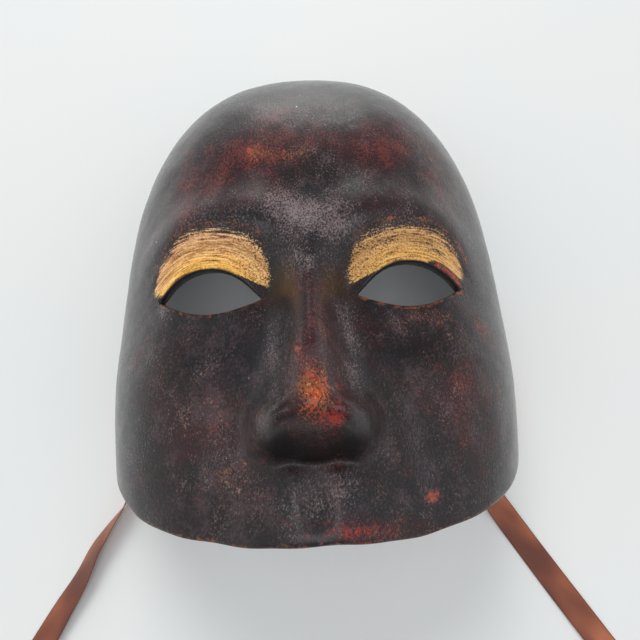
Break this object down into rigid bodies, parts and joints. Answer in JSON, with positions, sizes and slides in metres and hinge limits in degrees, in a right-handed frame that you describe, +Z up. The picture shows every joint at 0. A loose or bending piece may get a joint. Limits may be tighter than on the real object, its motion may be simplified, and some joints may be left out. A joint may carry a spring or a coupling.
{
  "type": "venetian mask",
  "caption": "Full-forehead papier-mache half mask with almond eye openings, lying face up, a flat tie ribbon led out of a slot at each temple.",
  "frame": {"origin": "middle of the mask's plan box, without the ribbons, on the plane of its flat trimmed rim, which is the surface that it lies on", "axes": "+X to the viewer's right across the face, +Y from the cut at the upper lip to the crown, +Z up out of the face; the mask lies face up"},
  "size_m": [0.2454, 0.3295, 0.1024],
  "materials": {
    "painted_papier_mache": "satin",
    "satin_ribbon": "satin weave"
  },
  "bodies": {
    "root": {"mask_shell": "painted_papier_mache", "ribbon_left": "satin_ribbon", "ribbon_right": "satin_ribbon"}
  },
  "joints": []
}
